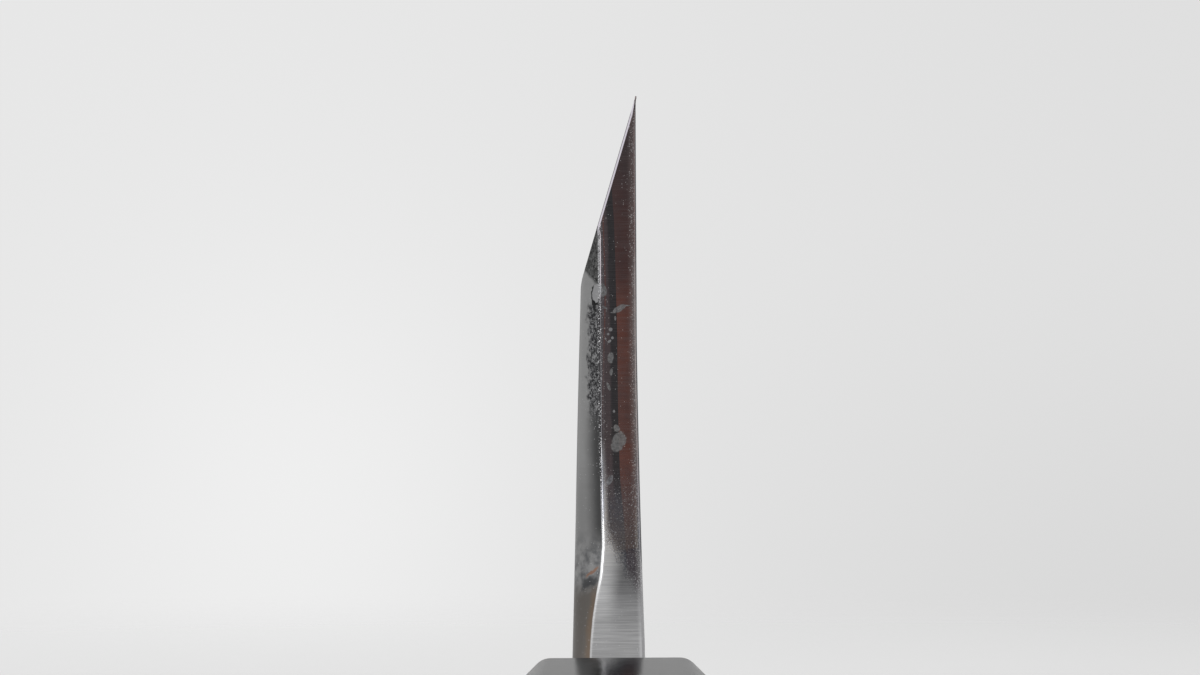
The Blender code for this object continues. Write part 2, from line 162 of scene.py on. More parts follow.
# %% How far the two sides stand out
def front_x(y, z):
    """The bevelled side: bevel, rounded ridge line, tapering flat, then neck and tang."""
    y, z = np.asarray(y, float), np.asarray(z, float)
    depth, width, along = slice_at(np.maximum(y, 0), z)
    bevel = np.minimum(BEVEL, BEVEL_MOST * width)
    taper = (TIP_THICKNESS - SPINE_THICKNESS) * (along / EDGE_LENGTH) ** 2
    spine = np.minimum(SPINE_THICKNESS + taper, width * BEVEL_SLOPE)
    ridge = spine - (width - bevel) * RIDGE_SLOPE
    belly = BELLY_DEPTH * np.sin(pi * np.clip((BELLY_TOP - z) / BELLY_HEIGHT, 0, 1))
    belly = belly * soft_step(1 - y / BELLY_LENGTH)
    flat = ridge + (depth - bevel) * RIDGE_SLOPE + belly
    ground = ridge * depth / bevel
    near = np.clip(0.5 + 0.5 * (flat - ground) / RIDGE_SOFTNESS, 0, 1)
    thickness = flat + (ground - flat) * near - RIDGE_SOFTNESS * near * (1 - near)
    blade = BACK_X - np.maximum(thickness, EDGE_WALL)
    neck = blade + (NECK_FRONT - blade) * soft_step(-y / CHOIL)
    return np.where(y < 0, tang_side(y, neck, -1), blade)


def back_x(y, z):
    """The flat back: hollowed behind its rims, and stepped out to the neck."""
    y, z = np.asarray(y, float), np.asarray(z, float)
    depth, width, _ = slice_at(np.maximum(y, 0), z)
    room = np.maximum(width - EDGE_RIM - SPINE_RIM, 1e-6)
    across = (depth - EDGE_RIM) / room
    along = soft_step((y - HEEL_RIM) / RUN_IN) * soft_step(room / RUN_IN)
    hollow = HOLLOW_DEPTH * along * np.maximum(0, 1 - (2 * across - 1) ** 2)
    shoulder = SHOULDER * np.clip((SHOULDER_TOP - z) / SHOULDER_HEIGHT, 0, 1) ** SHOULDER_BEND
    shoulder = shoulder * soft_step(1 - y / SHOULDER_LENGTH)
    neck = NECK_STEP * soft_step(-y / NECK_STEP_LENGTH)
    blade = BACK_X - hollow + np.maximum(shoulder, neck)
    return np.where(y < 0, tang_side(y, blade, 1), blade)


def tang_side(y, side, sign):
    """Takes a side of the neck in to the slimmer, tapered tang."""
    into = np.clip((NECK_END - y) / (NECK_END - TANG_END), 0, 1)
    tang = TANG_X + sign * (TANG_HALF - TANG_HALF_TAPER * into)
    return side + (tang - side) * soft_step((NECK_END - y) / (NECK_END - TANG_START))


print(f"at the heel the spine is {float(back_x(0, 36) - front_x(0, SPINE_Z)):.2f} mm thick")

# %% [markdown]
# ## The wall round the outline
#
# At each station of the outline the wall's profile runs from the back to the bevelled side. On the
# heel it is a flat with an eased corner, then a ridge, then a rounded facet that dies into the
# side. The facet's ridge wanders: the numbers below were measured on the photograph's heel.

# %% The facet of the heel
RIDGE_AT = ((18, -1.72), (23.2, -1.72), (24.3, -1.66), (25.9, -1.5), (27.5, -1.24),
            (28.9, -0.96), (31, -0.78), (34, -0.86), (38, -0.93), (64, -0.93))  # height, x
FACET, NECK_FACET, NARROWED_BY = 2.2, 0.9, 0.55  # depths, and the share of the choil between
CREASE, RIDGE_ROUND = radians(30), 0.3
EASE = {"heel": 0.27, "spine": 0.45, "tang": 0.3, "edge": 0.012}
EASE_BEVEL, EASE_RUN_IN = 0.17, 4


def profile(back, front, side, ease, lip, ridge, depth):
    """(x, inward) pairs from the back to the bevelled side of one station.

    ease and lip round the two corners. Where ridge lies between them, a facet of that depth runs
    from it towards side, the place where the face would be without the bevel."""
    points = [(back - ease + ease * cos(a), ease - ease * sin(a)) for a in quarter(4)]
    corner = front + lip
    room = max(0, ridge - corner)
    start, share = corner + room, min(1, room / max(0.01, ridge - side))
    radius = min(RIDGE_ROUND, 1.6 * room)
    points.append((start + radius * sin(CREASE) + 0.1, 0))
    for step in range(4):
        a = CREASE * step / 3
        points.append((start + radius * (sin(CREASE) - sin(a)), radius * (1 - cos(a))))
    inward = points[-1][1]
    angle = asin(min(1, sin(CREASE) + share * (1 - sin(CREASE))))
    for step in range(1, 11):
        a = CREASE + (angle - CREASE) * step / 10
        across = (sin(a) - sin(CREASE)) / (1 - sin(CREASE))
        fall = (cos(CREASE) - cos(a)) / cos(CREASE)
        points.append((start + (side - start) * across, inward + (depth - inward) * fall))
    end_x, end_in = points[-1]
    for step in range(1, 5):
        points.append((end_x + (front - end_x) * step / 4, end_in + max(lip, 0.05) * step / 4))
    return points


def quarter(steps):
    """Angles from nothing to a quarter turn."""
    return [radians(90) * i / steps for i in range(steps + 1)]


def at_height(z, table):
    """What a table of (height, x) pairs says at the height z."""
    return np.interp(z, *zip(*table))


print("one profile has", len(profile(1.7, -3, -3, EASE["heel"], 0, -0.93, FACET)), "points")

# %% The outline, as stations (y, z, zone)
def legs(start, *corners):
    """Stations on straight legs to corners (y, z, spacing, zone), without the last corner."""
    made = []
    for y1, z1, spacing, zone in corners:
        (y0, z0), count = start, max(1, ceil(dist(start, (y1, z1)) / spacing))
        made += [(y0 + (y1 - y0) * i / count, z0 + (z1 - z0) * i / count, zone)
                 for i in range(count)]
        start = y1, z1
    return made


def rounded(before, corner, after, radius, steps, zone=""):
    """Stations round a corner, from the leg towards before to the leg towards after."""
    corner = Vector(corner)
    back, ahead = ((Vector(p) - corner).normalized() for p in (before, after))
    half = back.angle(ahead) / 2
    centre = corner + (back + ahead).normalized() * radius / sin(half)
    first = corner + back * radius / tan(half) - centre
    last = corner + ahead * radius / tan(half) - centre
    turn = first.angle_signed(last)
    made = []
    for i in range(steps + 1):
        a = -turn * i / steps
        spoke = Vector((first.x * cos(a) - first.y * sin(a),
                        first.x * sin(a) + first.y * cos(a)))
        made.append((*(centre + spoke), zone))
    return made


CLOSE_FROM, CLOSE_TO = 56, 49  # heights between which the heel's corner needs close stations
EDGE_ROUND, TIP_ROUND = 0.3, 0.5  # at both ends of the cutting edge
TIP_SHARE = 0.985  # of the curves, where the round of the tip begins


def outline():
    """Round the knife's metal: down the heel and the choil, to the tang, back by the spine."""
    stations = rounded((5, EDGE_Z), (0, EDGE_Z), (0, 50), EDGE_ROUND, 4, "edge")
    stations += legs((0, EDGE_Z - 2 * EDGE_ROUND), (0, CLOSE_FROM, 0.8, "heel"),
                     (0, CLOSE_TO, 0.2, "heel"), (0, CHOIL_TOP, 0.8, "heel"))
    stations += [(-CHOIL * (1 - cos(a)), CHOIL_TOP - CHOIL * sin(a), "heel")
                 for a in quarter(48)[:-1]]
    stations += legs((-CHOIL, NECK_TOP), (NECK_END, NECK_TOP, 1, "heel"),
                     (TANG_START, TANG_Z + 4.5, 0.7, "tang"), (TANG_END, TANG_Z + 3, 6, "tang"),
                     (TANG_END, TANG_Z - 3, 2, "tang"), (TANG_START, TANG_Z - 4.5, 6, "tang"),
                     (NECK_END, SPINE_Z, 0.7, "tang"), (0, SPINE_Z, 1.2, "spine"))
    spine = curve(SPINE_CURVE, np.linspace(0, TIP_SHARE, 90))
    stations += [(*p, "spine") for p in spine]
    edge = curve(EDGE_CURVE, np.linspace(TIP_SHARE, 0.012, 110))
    stations += rounded(spine[-1], TIP, edge[0], TIP_ROUND, 6, "edge")
    return stations + [(*p, "edge") for p in edge]


stations = outline()
print(len(stations), "stations round the outline")

# %% [markdown]
# ## Filling the two sides
#
# A constrained Delaunay triangulation joins the wall's rim to points strewn over the side, and
# keeps the lines that matter, such as the ridge line, as edges of triangles. It works on a flat
# drawing; each point is then lifted to its place on the sheet.

# %% Fill a side with triangles
SPACING = 1.6  # between the points strewn over a side, and half of it round the heel
FINE_UNTIL = 8


def fill_side(form, rim, lines, sheet, flip):
    """Covers the inside of a closed rim of vertices: sheet(y, z) gives the x of each point."""
    flat = [Vector((v.co.y, v.co.z)) for v in rim]
    edges = [(i, (i + 1) % len(rim)) for i in range(len(rim))]
    corners = np.array(flat)
    for line in lines:
        line = [p for p in line if inside(np.array([p]), corners)[0]]
        edges += [(len(flat) + i, len(flat) + i + 1) for i in range(len(line) - 1)]
        flat += [Vector(p) for p in line]
    strewn = strew()
    flat += [Vector(p) for p in strewn[inside(strewn, corners)]]
    points, _, faces, origins = delaunay_2d_cdt(flat, edges, [], 1, 1e-6)[:4]
    lifted = sheet(np.array([p.x for p in points]), np.array([p.y for p in points]))
    vertices = []
    for point, x, origin in zip(points, lifted, origins):
        from_rim = [i for i in origin if i < len(rim)]
        vertices.append(rim[from_rim[0]] if from_rim else form.verts.new((x, point.x, point.y)))
    for face in faces:
        corner = [vertices[i] for i in (face[::-1] if flip else face)]
        if len(set(corner)) == 3:
            form.faces.new(corner)


def inside(points, polygon):
    """Which of the (y, z) points lie inside the polygon."""
    y, z = points[:, 0, None], points[:, 1, None]
    (y0, z0), (y1, z1) = polygon.T, np.roll(polygon, -1, 0).T
    with np.errstate(divide="ignore", invalid="ignore"):
        crosses = ((z0 > z) != (z1 > z)) & (y < (y1 - y0) * (z - z0) / (z1 - z0) + y0)
    return crosses.sum(1) % 2 == 1


def strew():
    """Points over the whole drawing, closer together round the heel and the neck."""
    fine, heights = SPACING / 2, (TANG_Z - 2, TANG_Z, TANG_Z + 2)
    near = [(y, z) for y in np.arange(NECK_END, FINE_UNTIL, fine)
            for z in np.arange(SPINE_Z, EDGE_Z, fine)]
    far = []
    for i, z in enumerate(np.arange(SPINE_Z, EDGE_Z, SPACING * sqrt(3) / 2)):
        far += [(y + (i % 2) * fine, z) for y in np.arange(FINE_UNTIL, EDGE_LENGTH, SPACING)]
    tang = [(y, z) for y in np.arange(TANG_END + 2, NECK_END, 3) for z in heights]
    return np.array(near + far + tang)


print(len(strew()), "points strewn")

# %% Sweep the wall and close the blank
def inward_ways(places):
    """Unit (y, z) steps into the metal at each station."""
    ahead = np.roll(places, -1, 0) - places
    ahead /= np.linalg.norm(ahead, axis=1, keepdims=True)
    tangent = ahead + np.roll(ahead, 1, 0)
    tangent /= np.linalg.norm(tangent, axis=1, keepdims=True)
    return np.stack([-tangent[:, 1], tangent[:, 0]], 1)


def station_profile(y, z, zone, way):
    """The profile of one station, with the sizes that its zone gives it."""
    if zone == "heel":
        ridge = at_height(z, RIDGE_AT)
        turned = np.clip(-y / CHOIL / NARROWED_BY, 0, 1)
        depth = FACET + (NECK_FACET - FACET) * soft_step(turned)
        lip = EASE_BEVEL * np.clip((z - (EDGE_Z - BEVEL)) / EASE_RUN_IN, 0, 1)
        ease, inset = EASE[zone], depth if z < EDGE_Z - BEVEL else lip
    else:
        ridge, depth = -9, 0  # outside the metal, so there is no facet
        ease = lip = inset = EASE[zone]
    at = np.array([y, z]) + way * inset
    front = float(front_x(*at))
    back = float(back_x(y + way[0] * ease, z + way[1] * ease))
    unground = float(BACK_X - SPINE_THICKNESS + (z - SPINE_Z) * RIDGE_SLOPE)
    side = min(front, unground if y >= 0 else front)
    room = (back - front) * 0.4  # near the edge and the tip the metal is too thin for its rounds
    return profile(back, front, side, min(ease, room), min(lip, room), ridge, depth)


def depth_line(depth, y_from, y_to):
    """Points at one depth from the edge, from one place along the blade to another."""
    t = np.linspace(0, LAST, 150)
    edge, spine = curve(EDGE_CURVE, t), curve(SPINE_CURVE, t)
    width = np.linalg.norm(spine - edge, axis=1)
    reach = depth(width) if callable(depth) else depth
    at = edge + (spine - edge) * (np.minimum(reach, BEVEL_MOST * width) / width)[:, None]
    return [tuple(p) for p, w in zip(at, width) if y_from < p[0] < y_to and w > 4]


def make_blank():
    """The whole metal of the knife in one closed form, in millimetres."""
    form = bmesh.new()
    places = np.array([s[:2] for s in stations], float)
    ways = inward_ways(places)
    rings = []
    for (y, z, zone), way in zip(stations, ways):
        ring = station_profile(y, z, zone, way)
        rings.append([form.verts.new((x, y + way[0] * i, z + way[1] * i)) for x, i in ring])
    for near, far in zip(rings, rings[1:] + rings[:1]):
        for i in range(len(near) - 1):
            form.faces.new((near[i], near[i + 1], far[i + 1], far[i]))
    ridge = [depth_line(BEVEL + off, FACET + 0.4, 172) for off in (-0.6, 0, 0.6)]
    rims = [depth_line(EDGE_RIM, HEEL_RIM, 170),
            depth_line(lambda width: width - SPINE_RIM, HEEL_RIM, 165)]
    fill_side(form, [ring[-1] for ring in rings], ridge, front_x, False)
    fill_side(form, [ring[0] for ring in rings], rims, back_x, True)
    bmesh.ops.remove_doubles(form, verts=form.verts, dist=1e-5)
    bmesh.ops.recalc_face_normals(form, faces=form.faces)
    return form


blank = make_blank()
loose = sum(len(e.link_faces) != 2 for e in blank.edges)
print(f"blank: {len(blank.verts)} points, {loose} open edges, {blank.calc_volume() / 1000:.1f} cm3")

# %% [markdown]
# ## Two metals from one blank
#
# A real blade shows its weld as a line that wanders a little, because the two metals were beaten
# together hot. So the blank is parted by a surface that leans and waves. A Boolean likes flat
# cutters: every point is first slid sideways by the wave, which makes the weld flat, then the
# blank is cut, and both pieces are slid back. The neck is iron alone, so the cutter stops there.

# %% Part the blank along the weld
WELD_AT = ((30, 0.86), (31, 0.82), (33.2, 0.66), (35.7, 0.47), (40, 0.36), (42, 0.335), (46, 0.31),
           (49.5, 0.24), (52.3, 0.185), (54.4, 0.12), (56.6, -0.02), (57.9, -0.2), (64, -1))
WELD_X, WELD_Z, WELD_LEAN = 0.31, 46, 0.012  # of the plane that it follows along the blade
WELD_RUN_IN = 12


def weld_x(y, z):
    """Where the weld lies, in millimetres from the handle's middle."""
    heel = at_height(z, WELD_AT)
    wave = 0.085 * np.sin(y / 6.1 + 0.6) + 0.05 * np.sin(y / 2.3 + z / 9)
    wave = wave + 0.07 * np.sin(y / 17 + 2)
    plane = WELD_LEAN * (WELD_Z - z) + WELD_X
    return heel + (plane - heel + wave) * soft_step(y / WELD_RUN_IN)


def show(name, data):
    """A new object in the scene."""
    thing = bpy.data.objects.new(name, data)
    bpy.context.scene.collection.objects.link(thing)
    return thing


def as_mesh(form, name):
    """A bmesh becomes a mesh, and is freed."""
    mesh = bpy.data.meshes.new(name)
    form.to_mesh(mesh)
    form.free()
    return mesh


def cut(thing, form, operation):
    """The mesh that is left of an object after an exact Boolean with a form."""
    cutter = show("cutter", as_mesh(form, "cutter"))
    step = thing.modifiers.new(operation, "BOOLEAN")
    step.operation, step.solver, step.object = operation, "EXACT", cutter
    bpy.context.view_layer.update()
    done = thing.evaluated_get(bpy.context.evaluated_depsgraph_get())
    left = bpy.data.meshes.new_from_object(done)
    thing.modifiers.remove(step)
    bpy.data.objects.remove(cutter)
    return left


def loft(rings, ends=True):
    """A form through rings with as many points each: with flat ends, or joined up to a frame."""
    form = bmesh.new()
    rows = [[form.verts.new(p) for p in ring] for ring in rings]
    for near, far in zip(rows, rows[1:] if ends else rows[1:] + rows[:1]):
        for i in range(len(near)):
            j = (i + 1) % len(near)
            form.faces.new((near[i], near[j], far[j], far[i]))
    if ends:
        form.faces.new(rows[0])
        form.faces.new(rows[-1])
    bmesh.ops.recalc_face_normals(form, faces=form.faces)
    return form


def move_points(mesh, moved):
    """Puts every point of a mesh where the function moved takes it."""
    place = np.zeros(len(mesh.vertices) * 3, np.float32)
    mesh.vertices.foreach_get("co", place)
    mesh.vertices.foreach_set("co", moved(place.reshape(-1, 3)).ravel())
    mesh.update()


def slide_by_weld(mesh, sign):
    def slid(place):
        place[:, 0] += sign * weld_x(*place[:, 1:].T.astype(float))
        return place

    move_points(mesh, slid)


def steel_room():
    """The room that the steel fills, in front of the flat weld and above the neck."""
    low = CHOIL_TOP - 0.2
    neck_line = [(0.9, -5), (0.9, 7), (1.9, 10), (1.5, 14), (0.4, 18), (0.7, 23), (0.3, 27)]
    drawing = [(-1, 80), (200, 80), (200, -5), *neck_line, (0.02, low), (-1, low)]
    return loft([[(x, y, z) for y, z in drawing] for x in (0, 9)])


whole = show("whole_blade", as_mesh(blank, "whole_blade"))
slide_by_weld(whole.data, -1)
metals = {"edge_steel": cut(whole, steel_room(), "INTERSECT"),
          "blade_body": cut(whole, steel_room(), "DIFFERENCE")}
for name, mesh in metals.items():
    slide_by_weld(mesh, 1)
    print(name, len(mesh.polygons), "faces")
bpy.data.objects.remove(whole)

# %% [markdown]
# ## Handing a form over to the frame
#
# Every visible piece rides on a body of the CAD model and stands for the nodes that it replaces.
# Weighted normals keep the large flats flat, so only the narrow rounded corners turn the light.

# %% Make a piece of the knife
SHARP = radians(38)
DUST_OUTSIDE = 0.06  # how far outside the ridge its dust lies, above the choil


def to_frame(place):
    """Millimetres from the heel to metres in the frame."""
    place = place * MM
    place[:, 1] += HEEL_Y
    return place


def note(mesh, name, values):
    """Stores the distance from a line for each point, for a finish to read."""
    kept = mesh.attributes.new("from_" + name, "FLOAT", "POINT").data
    kept.foreach_set("value", np.asarray(values, np.float32))


def piece(name, mesh, slot, *nodes):
    """Shows a mesh in millimetres as a piece of the knife, in place of these CAD nodes."""
    mesh.name = name
    move_points(mesh, to_frame)
    mesh.shade_smooth()
    mesh.set_sharp_from_angle(angle=SHARP)
    thing = show(name, mesh)
    thing.modifiers.new("weighted normals", "WEIGHTED_NORMAL").keep_sharp = True
    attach(thing, "root")
    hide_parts(*nodes)
    return thing


def blade_notes(mesh):
    """Distances in millimetres that the blade's finishes need, from its own lines."""
    x, y, z = np.array([v.co for v in mesh.vertices], float).T
    depth, width, _ = slice_at(np.maximum(y, 0), z)
    note(mesh, "edge", depth)
    note(mesh, "spine", width - depth)
    note(mesh, "weld", x - weld_x(y, z))
    turned = (z < CHOIL_TOP) & (y > -CHOIL)
    far = np.hypot(y + CHOIL, CHOIL_TOP - z)
    heel_z = np.where(turned, CHOIL_TOP - (CHOIL_TOP - z) * CHOIL / far, z)
    outside = DUST_OUTSIDE * soft_step((heel_z - 35.5) / 2.5)
    note(mesh, "ridge", x + outside - at_height(heel_z, RIDGE_AT))
    note(mesh, "heel", np.where(turned, far - CHOIL, np.where(y < 0, NECK_TOP - z, y)))


for mesh in metals.values():
    blade_notes(mesh)
edge_steel = piece("edge_steel", metals["edge_steel"], "hard_steel", "blade_steel")
blade_body = piece("blade_body", metals["blade_body"], "soft_iron", "blade_iron")
print("blade in", len(metals), "pieces")

# %% [markdown]
# ## The handle
#
# The ferrule and the grip are planed from octagons that swell a little towards the butt, then
# their corners are softened. Rings of points are laid across the handle and joined, which keeps
# long straight facets and lets each corner have its own small round.

# %% Octagonal rings and plugs
MOUTH = (21.5, 24, 5.775)  # width, height and the size of the cut corners
BUTT = (24.5, 27.5, 6.5)
CORNER_ROUND = 1.3


def all_rounded(corners, radius, steps):
    """A closed drawing with its corners rounded."""
    made = []
    for around in zip(corners[-1:] + corners, corners, corners[1:] + corners[:1]):
        made += [s[:2] for s in rounded(*around, radius, steps)]
    return made


def octagon(y, inset=0):
    """A ring of points across the handle, with rounded corners."""
    t = (MOUTH_Y - y) / (MOUTH_Y - BUTT_Y)
    wide, high, chamfer = (m + (b - m) * t for m, b in zip(MOUTH, BUTT))
    half, middle = wide / 2, high / 2
    corners = [(half - chamfer, 0), (half, chamfer), (half, high - chamfer), (half - chamfer, high)]
    ring = all_rounded(corners + [(-x, high - z) for x, z in corners], CORNER_ROUND, 5)
    shrink = (half - inset) / half, (middle - inset) / middle
    return [(x * shrink[0], y, middle + (z - middle) * shrink[1]) for x, z in ring]


def rim(y_end, inward, radius, steps=6):
    """Rings that round an end of the handle off: inward is +1 or -1 along y."""
    return [octagon(y_end + inward * radius * (1 - sin(a)), radius * (1 - cos(a)))
            for a in quarter(steps)]


def plug(section, y_from, y_to):
    """A straight plug in the line of the tang, with an (x, z) drawing as its section."""
    return loft([[(TANG_X + x, y, TANG_Z + z) for x, z in section] for y in (y_from, y_to)])


def disc(radius):
    turns = [2 * pi * i / 64 for i in range(64)]
    return [(radius * cos(a), radius * sin(a)) for a in turns]


def bar(wide, high, corner=0.8):
    x, z = wide / 2, high / 2
    return all_rounded([(x, -z), (x, z), (-x, z), (-x, -z)], corner, 4)


print(len(octagon(MOUTH_Y)), "points in a ring of the handle")

# %% Ferrule, seal and grip
SLOT = bar(7.7, 14.9)
TANG_SLOT = bar(6.2, 11.4)
BORE = disc(8.3)
WALL_BACK = MOUTH_Y - 4
DOWEL_BACK = (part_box("handle_dowel")[0].y - HEEL_Y) / MM
SEAM = 0.01  # half of what is left of the joint between horn and wood
SEAM_ROUND = 0.12
MOUTH_ROUND, BUTT_ROUND = 0.5, 1.6
SEAL = ((1, NECK_END), (1, MOUTH_Y - 0.45), (0.8, MOUTH_Y - 0.62), (0.5, MOUTH_Y - 0.72),
        (0.22, MOUTH_Y - 0.62), (0.02, MOUTH_Y - 0.4), (0.02, NECK_END))
SEAL_GAP = 0.38  # between the neck and the frame of resin, on both sides together


def hollowed(rings, *plugs):
    """The mesh of a loft after its plugs are cut out of it, one by one."""
    body = show("body", as_mesh(loft(rings), "body"))
    for tool in plugs:
        body.data = cut(body, tool, "DIFFERENCE")
    mesh = body.data
    bpy.data.objects.remove(body)
    return mesh


def seal_ring(grow, y):
    """A ring of the seal, so far out from the neck."""
    wide, high = (size + 2 * grow + SEAL_GAP for size in (NECK_THICKNESS, NECK_HEIGHT))
    return [(TANG_X + x, y, TANG_Z + z) for x, z in bar(wide, high, 0.5 + grow)]


rings = rim(MOUTH_Y, -1, MOUTH_ROUND)[::-1]
rings += [octagon(y) for y in np.linspace(MOUTH_Y - 1, JOINT_Y + 0.3, 8)]
rings += rim(JOINT_Y + SEAM, 1, SEAM_ROUND, 3)
horn = hollowed(rings, plug(SLOT, WALL_BACK - 1, MOUTH_Y + 1), plug(BORE, JOINT_Y - 1, WALL_BACK))
horn_ferrule = piece("horn_ferrule", horn, "black_horn", "ferrule")

rings = rim(JOINT_Y - SEAM, -1, SEAM_ROUND, 3)[::-1]
rings += [octagon(y) for y in np.linspace(JOINT_Y - 1, BUTT_Y + 3, 20)]
rings += rim(BUTT_Y, 1, BUTT_ROUND)
bore = plug(BORE, DOWEL_BACK - 1, JOINT_Y + 1)
wood = hollowed(rings, bore, plug(TANG_SLOT, TANG_END - 1, JOINT_Y))
wooden_grip = piece("wooden_grip", wood, "ho_wood", "handle_grip")

# The resin round the neck sank between metal and horn as it set.
meniscus = as_mesh(loft([seal_ring(grow, y) for grow, y in SEAL], ends=False), "meniscus")
resin_seal = piece("resin_seal", meniscus, "dark_resin", "mouth_seal")
print("handle:", ", ".join(t.name for t in (horn_ferrule, wooden_grip, resin_seal)))

# %% [markdown]
# ## Finishes as sums
#
# A finish is a small sum: a colour here, less shine there, a scratch where two noises cross. In
# Blender each part of such a sum is a node. To keep the sums readable, a socket is wrapped in a
# class that understands +, -, *, / and **, and in which z[33:36] rises softly from 0 to 1 between
# these heights. Every other node comes from one method. Colours go on as coats, each with the
# share that it covers. The objects' own coordinates place each detail, so it stays where it is
# from every side.

# %% A socket that understands sums
def sums(operation, turned=False):
    """A method that adds a Math node; turned, its own value comes last, as in 1 - signal."""

    def method(self, *others):
        values = (*others, self) if turned else (self, *others)
        return self.finish.node("Math", {"operation": operation}, dict(enumerate(values)))

    return method


class Signal:
    """What comes out of a node. Operators on it add nodes."""

    def __init__(self, finish, socket):
        self.finish, self.socket = finish, socket

    __add__ = __radd__ = sums("ADD")
    __mul__ = __rmul__ = sums("MULTIPLY")
    __sub__, __rsub__ = sums("SUBTRACT"), sums("SUBTRACT", turned=True)
    __truediv__, __pow__ = sums("DIVIDE"), sums("POWER")
    __abs__, most = sums("ABSOLUTE"), sums("MAXIMUM")
    sine, exponential = sums("SINE"), sums("EXPONENT")

    def __neg__(self):
        return 0 - self

    def __getitem__(self, span):
        """signal[low:high] is 0 at low and 1 at high, softly; low may be the larger."""
        sockets = {"Value": self, "From Min": span.start, "From Max": span.stop}
        return self.finish.node("MapRange", {"interpolation_type": "SMOOTHSTEP"}, sockets)

    def band(self, middle, half, soft):
        """1 within half of the middle, falling to 0 over soft."""
        return abs(self - middle)[half + soft : half]


print(sum(map(callable, vars(Signal).values())), "operations on a Signal")

# %% A finish: the nodes of one material
class Finish:
    """The node tree of a material or of the world."""

    def __init__(self, owner):
        owner.use_nodes = True
        self.tree = owner.node_tree

    def node(self, kind, settings=(), sockets=(), out=0):
        """Adds a shader node: its settings first, then its sockets, as values or Signals."""
        made = self.tree.nodes.new("ShaderNode" + kind)
        for key, value in dict(settings).items():
            setattr(made, key, value)
        for key, value in dict(sockets).items():
            self.feed(made.inputs[key], value)
        return Signal(self, made.outputs[out])

    def feed(self, socket, value):
        """Links a Signal or sets a value. One number for a colour is a grey."""
        if isinstance(value, Signal):
            self.tree.links.new(value.socket, socket)
        elif socket.type == "RGBA":
            socket.default_value = (*(value if isinstance(value, tuple) else (value,) * 3), 1)
        else:
            socket.default_value = value

    def vector_maths(self, operation, *values, out=0):
        sockets = dict(enumerate(values))
        return self.node("VectorMath", {"operation": operation}, sockets, out)

    def split(self, vector):
        parts = self.node("SeparateXYZ", (), {0: vector}).socket.node.outputs
        return [Signal(self, part) for part in parts]

    def noise(self, scale, detail, rough=0.55, twist=0, out="Fac", vector=None):
        """A noise of so many grains to the millimetre: one number, or one for each way."""
        vector = vector or self.vector
        if isinstance(scale, tuple):
            vector, scale = self.vector_maths("MULTIPLY", vector, scale), 1
        sockets = {"Vector": vector, "Scale": scale, "Detail": detail, "Roughness": rough,
                   "Distortion": twist}
        return self.node("TexNoise", (), sockets, out)

    def mix(self, share, a, b, way="MIX"):
        """Colour a, turning into b as share goes from 0 to 1."""
        settings = {"data_type": "RGBA", "blend_type": way}
        return self.node("Mix", settings, {0: share, 6: a, 7: b}, 2)

    def coats(self, colour, *coats):
        """A colour under coats of paint, each given as its share and its colour."""
        for share, coat in coats:
            colour = self.mix(share, colour, coat)
        return colour

    def bump(self, height, strength, depth_mm):
        sockets = {"Height": height, "Strength": strength, "Distance": depth_mm * MM}
        return self.node("Bump", (), sockets, "Normal")

    @cached_property
    def vector(self):
        """Object coordinates, in millimetres from the heel."""
        own = self.node("TexCoord", out="Object")
        return self.vector_maths("MULTIPLY_ADD", own, (1 / MM,) * 3, (0, -HEEL_Y / MM, 0))

    def facing(self):
        """How the surface faces along x, y and z, from -1 to 1."""
        return self.split(self.node("TexCoord", out="Normal"))

    def read(self, *names):
        """Distances that the mesh carries for each point."""
        return [self.node("Attribute", {"attribute_name": "from_" + n}, out="Fac") for n in names]

    def shade(self, colour, rough, **more):
        """Feeds the material's shader; underscores in names stand for spaces."""
        shader = self.tree.nodes["Principled BSDF"]
        for name, value in {"Base_Color": colour, "Roughness": rough, **more}.items():
            self.feed(shader.inputs[name.replace("_", " ")], value)


def dress(thing, name, seen_as):
    """The finish of a new material on a thing, with the colour that the viewport shows."""
    material = bpy.data.materials.new(name)
    material.diffuse_color = (*seen_as, 1)
    thing.data.materials.clear()
    thing.data.materials.append(material)
    return Finish(material)


print("a Finish offers", ", ".join(name for name in vars(Finish) if name[0] != "_"))

# %% [markdown]
# ## Steel and iron
#
# Seen end-on, the polished heel shows two tones: dark iron on the bevelled side and, past the weld,
# steel with a brown cast. Both are painted darker than bare metal, in part a painted reflection of
# the dark room behind the camera, and the steel's brown is a painted reflection. Dried drops of
# water lie on both. Round the choil the polish gives way to satin, brushed across. The sides carry
# the long scratches of a belt, and the bevel is hazy on the iron and bright on the steel. All of
# that is the same metal, so each zone only changes the colour, the roughness and a very fine bump;
# much of the heel's highlight and shade is painted into that colour. The numbers in the slices and
# bands are millimetres, measured on the photographed heel: z is the height, x runs from the
# handle's middle to the back.

# %% Dust, drops and brushing
DROPS = (
    (-0.72, 49.35, 0.3, 0.46, 0), (-0.56, 48.1, 0.12, 0.14, -1.2), (0.47, 48.03, 0.36, 0.32, 1),
    (1.05, 48.25, 0.26, 0.05, 0.5), (0.02, 47.77, 0.2, 0.06, 2), (0.18, 47.32, 0.07, 0.17, 0),
    (-0.17, 44.5, 0.23, 0.4, 0.1), (-0.13, 43.48, 0.12, 0.26, 0.1),
    (-0.34, 42.44, 0.11, 0.3, -0.35), (0.37, 38.45, 0.52, 0.72, 0.25),
    (0.25, 39.42, 0.22, 0.25, -0.2), (-0.26, 35.7, 0.2, 0.36, 0.3),
)
SPECKS = (
    (-0.16, 46.53, 0.13, 0.13, 0), (-0.33, 46.2, 0.09, 0.09, 0), (-0.03, 45.93, 0.09, 0.1, 0),
    (-0.53, 45.86, 0.07, 0.07, 0), (-0.25, 45.68, 0.12, 0.12, 0.5), (0.05, 40.64, 0.08, 0.1, 0),
)
SMUDGE = ((-1.36, 48.4, 0.13, 0.62, -0.15),)


